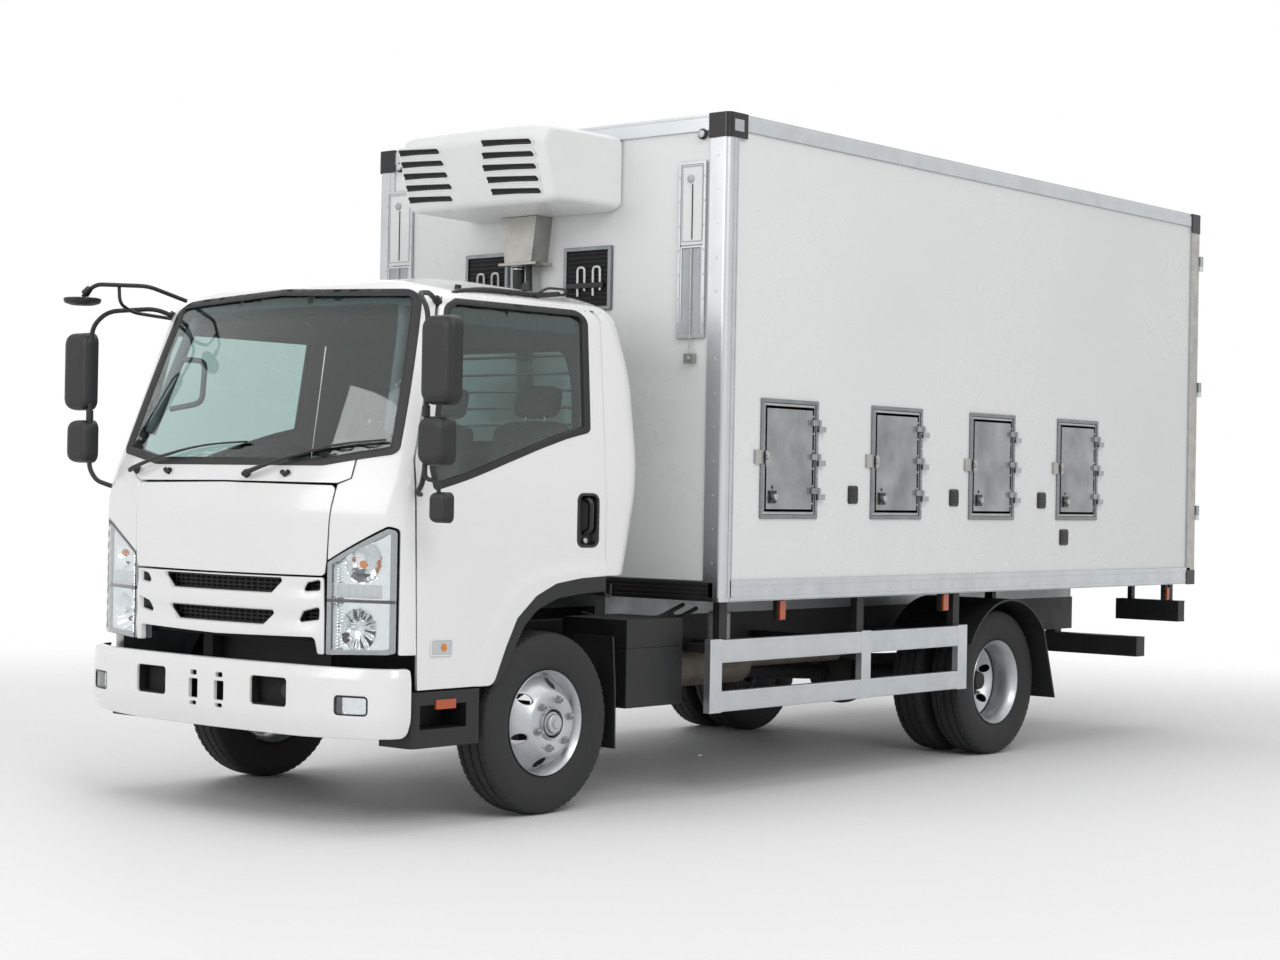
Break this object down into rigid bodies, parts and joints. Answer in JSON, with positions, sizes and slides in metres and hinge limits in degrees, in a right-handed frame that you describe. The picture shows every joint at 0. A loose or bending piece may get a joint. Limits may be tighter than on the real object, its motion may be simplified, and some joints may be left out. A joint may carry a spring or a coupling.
{
  "type": "refrigerated box truck",
  "caption": "White cab-over refrigerated box truck with tilting cab, insulated box with side hatches, rear doors and a front cooling unit.",
  "frame": {"origin": "on the ground, under the middle of the truck's length and width", "axes": "front towards -Y, the truck's left towards +X, up +Z"},
  "size_m": [2.57, 6.817, 3.183],
  "materials": {
    "black_frame_paint": "satin",
    "white_cab_paint": "gloss",
    "white_panel": "gloss",
    "hatch_panel": "satin",
    "aluminium": "satin",
    "silver_rim_paint": "satin",
    "tyre_rubber": "matte",
    "black_plastic": "matte",
    "grey_plastic": "matte",
    "white_unit_plastic": "satin",
    "cab_glass": "polished",
    "lamp_lens": "polished",
    "red_lens": "gloss",
    "seat_fabric": "matte",
    "cast_iron": "rough",
    "exhaust_steel": "rough",
    "stainless_steel": "brushed",
    "floor_panel": "satin"
  },
  "bodies": {
    "root": {"chassis_frame": "black_frame_paint", "front_axle": "cast_iron", "rear_axle": "cast_iron", "leaf_springs": "black_frame_paint", "propeller_shaft": "cast_iron", "engine_block": "cast_iron", "bumper": "white_cab_paint", "cab_steps": "black_plastic", "fuel_tank": "black_frame_paint", "battery_box": "black_frame_paint", "exhaust": "exhaust_steel", "side_guards": "aluminium", "rear_mudguards": "black_plastic", "underrun_bar": "black_frame_paint", "rear_lamps": "red_lens", "box_floor": "floor_panel", "box_front_wall": "white_panel", "box_side_walls": "white_panel", "box_roof": "white_panel", "box_rails": "aluminium", "refrigeration_unit": "white_unit_plastic", "unit_duct": "stainless_steel"},
    "cab": {"cab_shell": "white_cab_paint", "cab_glass": "cab_glass", "grille": "white_cab_paint", "headlamps": "lamp_lens", "dashboard": "grey_plastic", "seats": "seat_fabric", "mirrors": "black_plastic"},
    "steering": {"steering_wheel": "black_plastic"},
    "door_left": {"cab_door_left": "white_cab_paint", "door_glass_left": "cab_glass"},
    "door_right": {"cab_door_right": "white_cab_paint", "door_glass_right": "cab_glass"},
    "steer_left": {"knuckle_left": "cast_iron"},
    "front_wheel_left": {"front_tyre_left": "tyre_rubber", "front_rim_left": "silver_rim_paint"},
    "steer_right": {"knuckle_right": "cast_iron"},
    "front_wheel_right": {"front_tyre_right": "tyre_rubber", "front_rim_right": "silver_rim_paint"},
    "rear_wheel_left": {"rear_tyres_left": "tyre_rubber", "rear_rims_left": "silver_rim_paint"},
    "rear_wheel_right": {"rear_tyres_right": "tyre_rubber", "rear_rims_right": "silver_rim_paint"},
    "rear_door_left": {"rear_door_left": "white_panel"},
    "rear_door_right": {"rear_door_right": "white_panel"},
    "hatch_left_1": {"hatch_left_1": "hatch_panel"},
    "hatch_left_2": {"hatch_left_2": "hatch_panel"},
    "hatch_left_3": {"hatch_left_3": "hatch_panel"},
    "hatch_left_4": {"hatch_left_4": "hatch_panel"},
    "hatch_right_1": {"hatch_right_1": "hatch_panel"},
    "hatch_right_2": {"hatch_right_2": "hatch_panel"},
    "hatch_right_3": {"hatch_right_3": "hatch_panel"},
    "hatch_right_4": {"hatch_right_4": "hatch_panel"}
  },
  "joints": [
    {"name": "cab_tilt", "type": "hinge", "parent": "root", "child": "cab", "pos_m": [0, -3.215, 0.8], "axis": [1, 0, 0], "range_deg": [0, 45]},
    {"name": "steering_wheel_turn", "type": "hinge", "parent": "cab", "child": "steering", "pos_m": [0.46, -2.875, 1.5], "axis": [0, 0.5299, 0.848], "range_deg": [-541, 541]},
    {"name": "cab_door_left_hinge", "type": "hinge", "parent": "cab", "child": "door_left", "pos_m": [0.995, -3.126, 1.3], "axis": [0, 0, -1], "range_deg": [0, 70]},
    {"name": "cab_door_right_hinge", "type": "hinge", "parent": "cab", "child": "door_right", "pos_m": [-0.995, -3.126, 1.3], "axis": [0, 0, 1], "range_deg": [0, 70]},
    {"name": "steer_left", "type": "hinge", "parent": "root", "child": "steer_left", "pos_m": [0.78, -2.315, 0.398], "axis": [0, 0, 1], "range_deg": [-35, 35]},
    {"name": "front_wheel_left_spin", "type": "hinge", "parent": "steer_left", "child": "front_wheel_left", "pos_m": [0.891, -2.315, 0.398], "axis": [1, 0, 0], "continuous": true},
    {"name": "steer_right", "type": "hinge", "parent": "root", "child": "steer_right", "pos_m": [-0.78, -2.315, 0.398], "axis": [0, 0, 1], "range_deg": [-35, 35]},
    {"name": "front_wheel_right_spin", "type": "hinge", "parent": "steer_right", "child": "front_wheel_right", "pos_m": [-0.891, -2.315, 0.398], "axis": [1, 0, 0], "continuous": true},
    {"name": "rear_wheel_left_spin", "type": "hinge", "parent": "root", "child": "rear_wheel_left", "pos_m": [0.831, 1.285, 0.398], "axis": [1, 0, 0], "continuous": true},
    {"name": "rear_wheel_right_spin", "type": "hinge", "parent": "root", "child": "rear_wheel_right", "pos_m": [-0.831, 1.285, 0.398], "axis": [1, 0, 0], "continuous": true},
    {"name": "rear_door_left_hinge", "type": "hinge", "parent": "root", "child": "rear_door_left", "pos_m": [1.174, 3.393, 2.1], "axis": [0, 0, -1], "range_deg": [0, 240]},
    {"name": "rear_door_right_hinge", "type": "hinge", "parent": "root", "child": "rear_door_right", "pos_m": [-1.174, 3.393, 2.1], "axis": [0, 0, 1], "range_deg": [0, 240]},
    {"name": "hatch_left_1_hinge", "type": "hinge", "parent": "root", "child": "hatch_left_1", "pos_m": [1.18, -0.601, 1.582], "axis": [0, 0, 1], "range_deg": [0, 95]},
    {"name": "hatch_left_2_hinge", "type": "hinge", "parent": "root", "child": "hatch_left_2", "pos_m": [1.18, 0.317, 1.582], "axis": [0, 0, 1], "range_deg": [0, 95]},
    {"name": "hatch_left_3_hinge", "type": "hinge", "parent": "root", "child": "hatch_left_3", "pos_m": [1.18, 1.235, 1.582], "axis": [0, 0, 1], "range_deg": [0, 95]},
    {"name": "hatch_left_4_hinge", "type": "hinge", "parent": "root", "child": "hatch_left_4", "pos_m": [1.18, 2.153, 1.582], "axis": [0, 0, 1], "range_deg": [0, 95]},
    {"name": "hatch_right_1_hinge", "type": "hinge", "parent": "root", "child": "hatch_right_1", "pos_m": [-1.18, -0.601, 1.582], "axis": [0, 0, -1], "range_deg": [0, 95]},
    {"name": "hatch_right_2_hinge", "type": "hinge", "parent": "root", "child": "hatch_right_2", "pos_m": [-1.18, 0.317, 1.582], "axis": [0, 0, -1], "range_deg": [0, 95]},
    {"name": "hatch_right_3_hinge", "type": "hinge", "parent": "root", "child": "hatch_right_3", "pos_m": [-1.18, 1.235, 1.582], "axis": [0, 0, -1], "range_deg": [0, 95]},
    {"name": "hatch_right_4_hinge", "type": "hinge", "parent": "root", "child": "hatch_right_4", "pos_m": [-1.18, 2.153, 1.582], "axis": [0, 0, -1], "range_deg": [0, 95]}
  ],
  "couplings": [
    {"joint": "steer_right", "follows": "steer_left", "ratio": 1},
    {"joint": "steering_wheel_turn", "follows": "steer_left", "ratio": 15.429}
  ]
}
